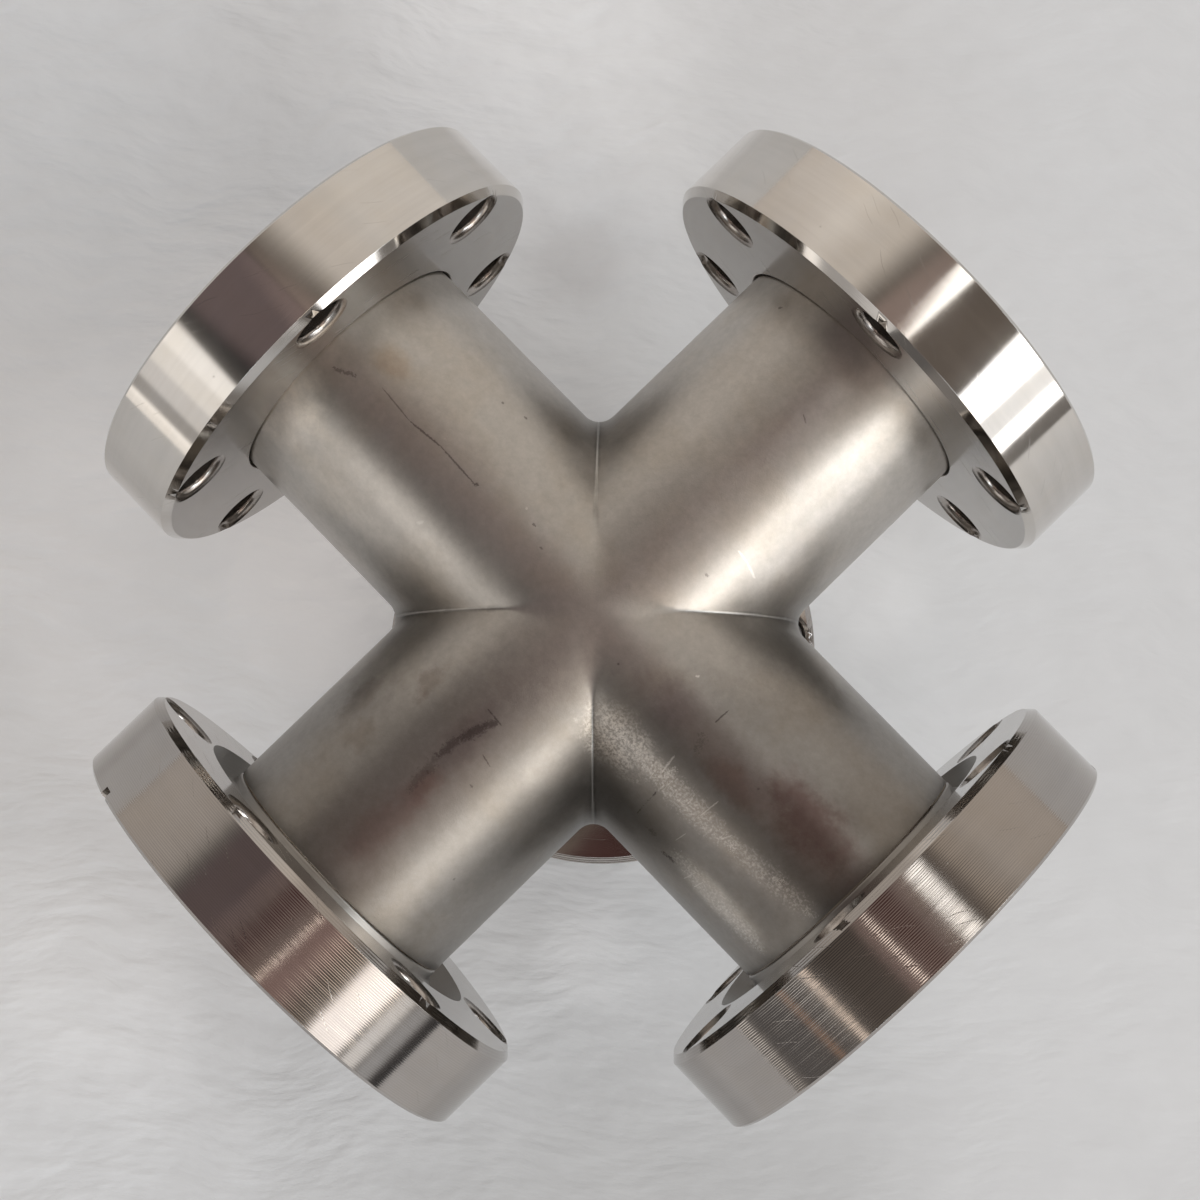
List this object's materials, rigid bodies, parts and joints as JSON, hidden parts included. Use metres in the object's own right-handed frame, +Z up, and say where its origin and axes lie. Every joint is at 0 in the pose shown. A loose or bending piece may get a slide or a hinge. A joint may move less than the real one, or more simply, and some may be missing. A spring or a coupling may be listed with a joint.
{
  "type": "five-way cross fitting",
  "caption": "Five-way vacuum cross with knife-edge flanges: a blended tube body with fixed flanges on two ports and turning bolt rings on the rest.",
  "frame": {"origin": "centre of the lower port's sealing face, which the part stands on", "axes": "+Z up against the lower port, +X along the right port and +Y along the rear port; the arms cross 62.5 mm above the origin"},
  "size_m": [0.125, 0.125, 0.0971],
  "materials": {
    "body_steel": "satin",
    "flange_steel": "machined",
    "wire_steel": "bright"
  },
  "bodies": {
    "fitting": {"cross_body": "body_steel", "fixed_flange_left": "flange_steel", "fixed_flange_rear": "flange_steel", "weld_hub_right": "flange_steel", "retaining_wire_right": "wire_steel", "weld_hub_front": "flange_steel", "retaining_wire_front": "wire_steel", "weld_hub_bottom": "flange_steel", "retaining_wire_bottom": "wire_steel"},
    "ring_right": {"bolt_ring_right": "flange_steel"},
    "ring_front": {"bolt_ring_front": "flange_steel"},
    "ring_bottom": {"bolt_ring_bottom": "flange_steel"}
  },
  "joints": [
    {"name": "right_ring_turn", "type": "hinge", "parent": "fitting", "child": "ring_right", "pos_m": [0.0625, 0, 0.0625], "axis": [1, 0, 0], "continuous": true},
    {"name": "front_ring_turn", "type": "hinge", "parent": "fitting", "child": "ring_front", "pos_m": [0, -0.0625, 0.0625], "axis": [0, -1, 0], "continuous": true},
    {"name": "bottom_ring_turn", "type": "hinge", "parent": "fitting", "child": "ring_bottom", "pos_m": [0, 0, 0], "axis": [0, 0, -1], "continuous": true}
  ]
}
